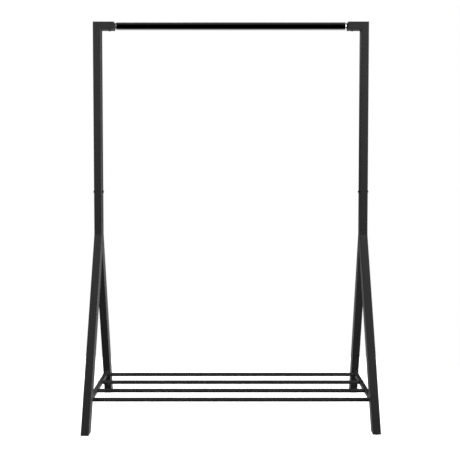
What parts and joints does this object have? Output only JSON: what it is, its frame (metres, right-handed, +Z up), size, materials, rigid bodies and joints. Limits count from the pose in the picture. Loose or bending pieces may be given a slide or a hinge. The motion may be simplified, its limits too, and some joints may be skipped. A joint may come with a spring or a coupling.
{
  "type": "garment rail",
  "caption": "Free-standing garment rail with inverted-Y end frames of square tube, a round hanging rod and a low shelf of round bars.",
  "frame": {"origin": "on the floor, midway between the four feet", "axes": "+X to the right along the hanging rod, -Y to the front, +Z up"},
  "size_m": [1.07, 0.393, 1.51],
  "materials": {
    "powder_coat": "satin anthracite powder coat with a fine texture",
    "black_chrome": "polished black chrome",
    "blackened_steel": "blackened steel, semi-gloss",
    "zinc_plate": "bright zinc plate",
    "black_plastic": "moulded black plastic"
  },
  "bodies": {
    "root": {"front_bar_left_insert": "zinc_plate", "front_bar_left_screw": "blackened_steel", "front_bar_right_insert": "zinc_plate", "front_bar_right_screw": "blackened_steel", "front_left_end_plug": "black_plastic", "front_left_leg": "powder_coat", "front_right_leg": "powder_coat", "front_right_level_nut": "zinc_plate", "front_right_level_plug": "black_plastic", "front_shelf_bar": "powder_coat", "hanging_rod": "black_chrome", "left_joint_bolt": "blackened_steel", "left_joint_nut": "blackened_steel", "left_joint_spigot": "zinc_plate", "left_rod_bushing": "black_plastic", "left_rod_insert": "zinc_plate", "left_rod_screw": "blackened_steel", "left_rod_stub": "powder_coat", "left_side_rail": "powder_coat", "left_stem": "powder_coat", "left_upper_post": "powder_coat", "middle_front_bar_left_insert": "zinc_plate", "middle_front_bar_left_screw": "blackened_steel", "middle_front_bar_right_insert": "zinc_plate", "middle_front_bar_right_screw": "blackened_steel", "middle_front_shelf_bar": "powder_coat", "middle_rear_bar_left_insert": "zinc_plate", "middle_rear_bar_left_screw": "blackened_steel", "middle_rear_bar_right_insert": "zinc_plate", "middle_rear_bar_right_screw": "blackened_steel", "middle_rear_shelf_bar": "powder_coat", "rear_bar_left_insert": "zinc_plate", "rear_bar_left_screw": "blackened_steel", "rear_bar_right_insert": "zinc_plate", "rear_bar_right_screw": "blackened_steel", "rear_left_end_plug": "black_plastic", "rear_left_leg": "powder_coat", "rear_right_end_plug": "black_plastic", "rear_right_leg": "powder_coat", "rear_shelf_bar": "powder_coat", "right_joint_bolt": "blackened_steel", "right_joint_nut": "blackened_steel", "right_joint_spigot": "zinc_plate", "right_rod_bushing": "black_plastic", "right_rod_insert": "zinc_plate", "right_rod_screw": "blackened_steel", "right_rod_stub": "powder_coat", "right_side_rail": "powder_coat", "right_stem": "powder_coat", "right_upper_post": "powder_coat"},
    "level_pad": {"level_pad": "black_plastic"},
    "level_stud": {"level_stud": "zinc_plate"}
  },
  "joints": [
    {"name": "level_travel", "type": "slide", "parent": "root", "child": "level_pad", "axis": [0, 0, -1], "range_m": [0, 0.01]},
    {"name": "level_turn", "type": "hinge", "parent": "level_pad", "child": "level_stud", "pos_m": [0.51992, -0.1793, 0], "axis": [0, 0, -1], "range_deg": [0, 2880]}
  ],
  "couplings": [
    {"joint": "level_turn", "follows": "level_travel", "rad_per_m": 5026.5}
  ]
}
